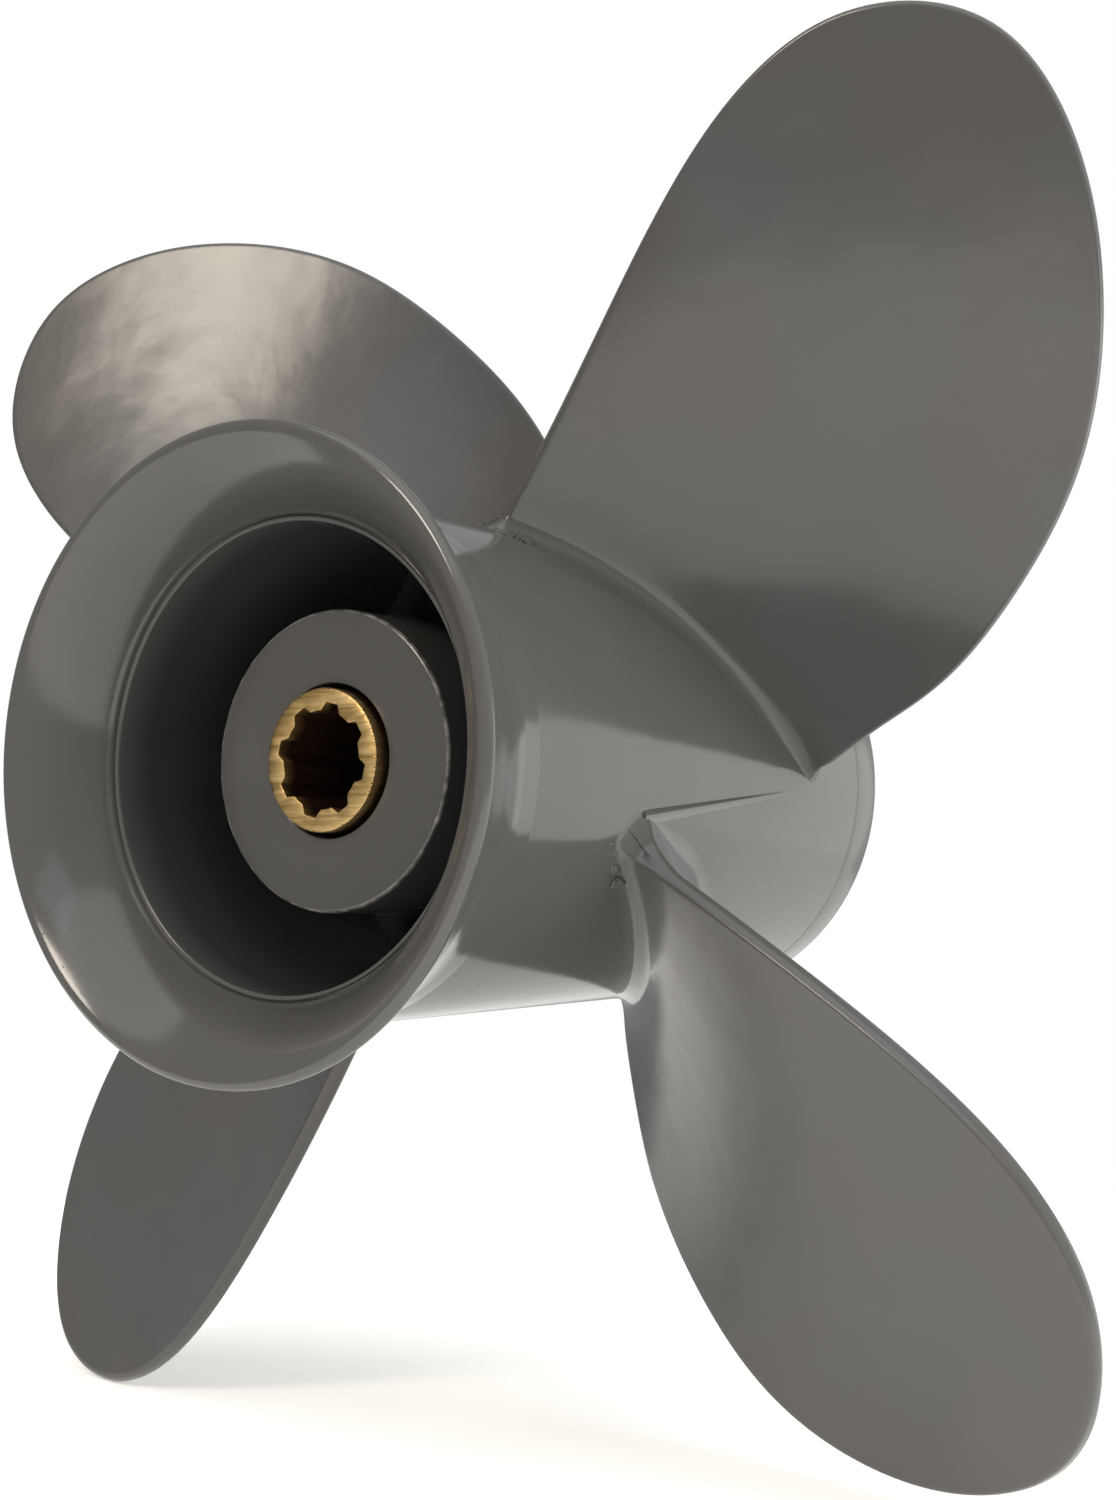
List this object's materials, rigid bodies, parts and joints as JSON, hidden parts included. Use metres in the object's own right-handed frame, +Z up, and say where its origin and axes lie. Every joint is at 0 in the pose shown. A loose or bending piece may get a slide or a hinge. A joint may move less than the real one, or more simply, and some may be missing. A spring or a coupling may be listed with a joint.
{
  "type": "outboard motor propeller",
  "caption": "Right-hand outboard propeller: flared through-hub exhaust barrel, swept cupless blades, ribbed inner hub, rubber cushion bush and splined brass sleeve.",
  "frame": {"origin": "centre of the splined sleeve's forward face, on the spin axis, where the hub seats on the thrust washer", "axes": "+Y forward along the spin axis towards the gearcase, +Z up, +X to starboard as seen from aft"},
  "size_m": [0.2174, 0.1305, 0.2176],
  "materials": {
    "enamelled_aluminium": "satin dark grey enamel over cast aluminium",
    "hub_rubber": "matt black moulded rubber",
    "brass": "turned and broached, fine tool marks"
  },
  "bodies": {
    "casting": {"barrel": "enamelled_aluminium", "inner_hub": "enamelled_aluminium", "rib_1": "enamelled_aluminium", "rib_2": "enamelled_aluminium", "rib_3": "enamelled_aluminium", "rib_4": "enamelled_aluminium", "blade_1": "enamelled_aluminium", "blade_2": "enamelled_aluminium", "blade_3": "enamelled_aluminium", "blade_4": "enamelled_aluminium"},
    "cushion": {"rubber_bush": "hub_rubber", "splined_sleeve": "brass"}
  },
  "joints": [
    {"name": "cushion_windup", "type": "hinge", "parent": "casting", "child": "cushion", "pos_m": [0, 0, 0], "axis": [0, 1, 0], "range_deg": [-10, 10], "stiffness_Nm_per_rad": 600}
  ]
}
